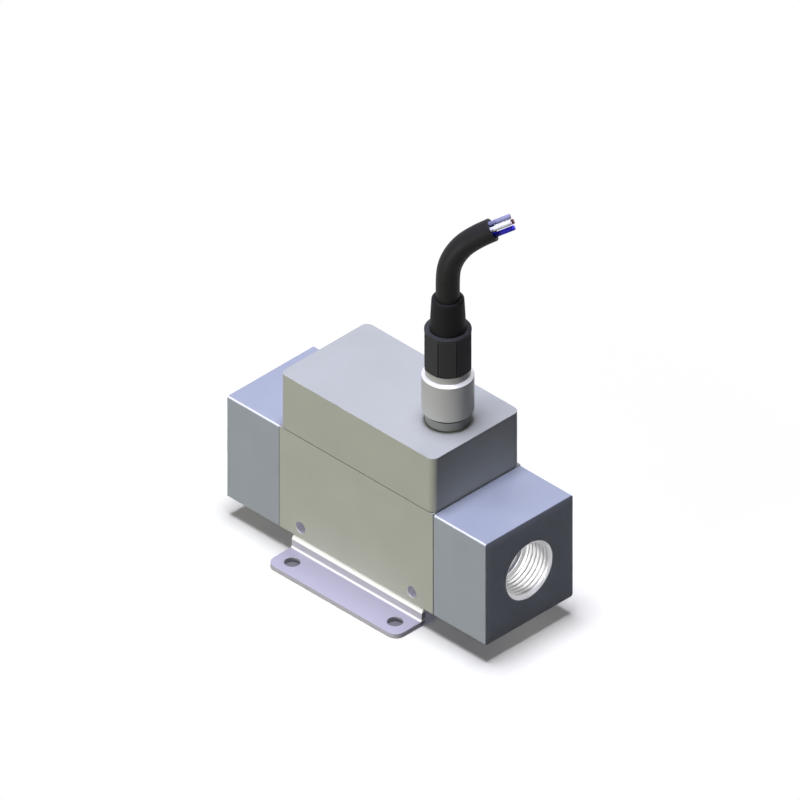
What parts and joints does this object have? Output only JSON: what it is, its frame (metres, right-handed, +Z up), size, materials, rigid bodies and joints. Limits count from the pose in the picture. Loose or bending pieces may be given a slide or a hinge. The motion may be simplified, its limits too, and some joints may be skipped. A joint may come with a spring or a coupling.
{
  "type": "flow switch",
  "caption": "Inline flow switch: a square bar body with a threaded port at each end, an electronics cover with a round plug connector, and a folded mounting bracket.",
  "frame": {"origin": "under the middle of the flow body, on the plane of the bracket feet's undersides", "axes": "+X along the flow from the inlet port to the outlet port, +Y across the body, +Z up from the bracket to the connector"},
  "size_m": [0.0944, 0.0506, 0.1188],
  "materials": {
    "sheet_steel": "satin folded sheet",
    "spring_steel": "satin",
    "brass": "satin",
    "body_resin": "fine moulded grain",
    "cover_resin": "fine moulded grain",
    "port_steel": "satin machined",
    "black_rubber": "matte",
    "sensor_plastic": "matte",
    "board_green": "solder mask",
    "black_plastic": "matte",
    "plated_metal": "nickel plated, satin",
    "gold_contact": "gold plated",
    "cable_black": "matte jacket",
    "core_white": "smooth insulation",
    "core_grey": "smooth insulation",
    "core_brown": "smooth insulation",
    "core_blue": "smooth insulation"
  },
  "bodies": {
    "sensor": {"mounting_bracket": "sheet_steel", "bracket_screw_1": "spring_steel", "bracket_screw_2": "spring_steel", "threaded_insert_1": "brass", "threaded_insert_2": "brass", "flow_body": "body_resin", "inlet_port_block": "port_steel", "outlet_port_block": "port_steel", "inlet_o_ring": "black_rubber", "outlet_o_ring": "black_rubber", "inlet_clip": "spring_steel", "outlet_clip": "spring_steel", "inlet_locating_pin": "spring_steel", "outlet_locating_pin": "spring_steel", "inlet_screen": "port_steel", "vortex_shedder": "sensor_plastic", "vortex_probe": "sensor_plastic", "probe_o_ring": "black_rubber", "clamp_plate": "spring_steel", "clamp_screw_1": "spring_steel", "clamp_screw_2": "spring_steel", "circuit_board": "board_green", "board_screw_1": "spring_steel", "board_screw_2": "spring_steel", "processor": "black_plastic", "output_transistor": "black_plastic", "capacitor": "plated_metal", "top_cover": "cover_resin", "cover_gasket": "black_rubber", "cover_screw_1": "spring_steel", "cover_screw_2": "spring_steel", "cover_screw_3": "spring_steel", "cover_screw_4": "spring_steel", "receptacle_shell": "plated_metal", "receptacle_insert": "black_plastic", "receptacle_pin_1": "gold_contact", "receptacle_pin_2": "gold_contact", "receptacle_pin_3": "gold_contact", "receptacle_pin_4": "gold_contact", "receptacle_seal": "black_rubber", "receptacle_lock_nut": "plated_metal"},
    "plug": {"plug_insert": "black_plastic", "plug_contact_1": "gold_contact", "plug_contact_2": "gold_contact", "plug_contact_3": "gold_contact", "plug_contact_4": "gold_contact", "plug_face_seal": "black_rubber", "plug_grip": "black_plastic", "strain_relief": "black_rubber", "cable_jacket": "cable_black", "core_white": "core_white", "core_grey": "core_grey", "core_brown": "core_brown", "core_blue": "core_blue"},
    "coupling_nut": {"coupling_nut": "plated_metal"}
  },
  "joints": [
    {"name": "plug_lift", "type": "slide", "parent": "sensor", "child": "plug", "axis": [0, 0, 1], "range_m": [0, 0.00501]},
    {"name": "nut_turn", "type": "hinge", "parent": "plug", "child": "coupling_nut", "pos_m": [0.0175, 0, 0.0637], "axis": [0, 0, 1], "range_deg": [0, 1800]}
  ],
  "couplings": [
    {"joint": "plug_lift", "follows": "nut_turn", "m_per_rad": 0.00015915}
  ]
}
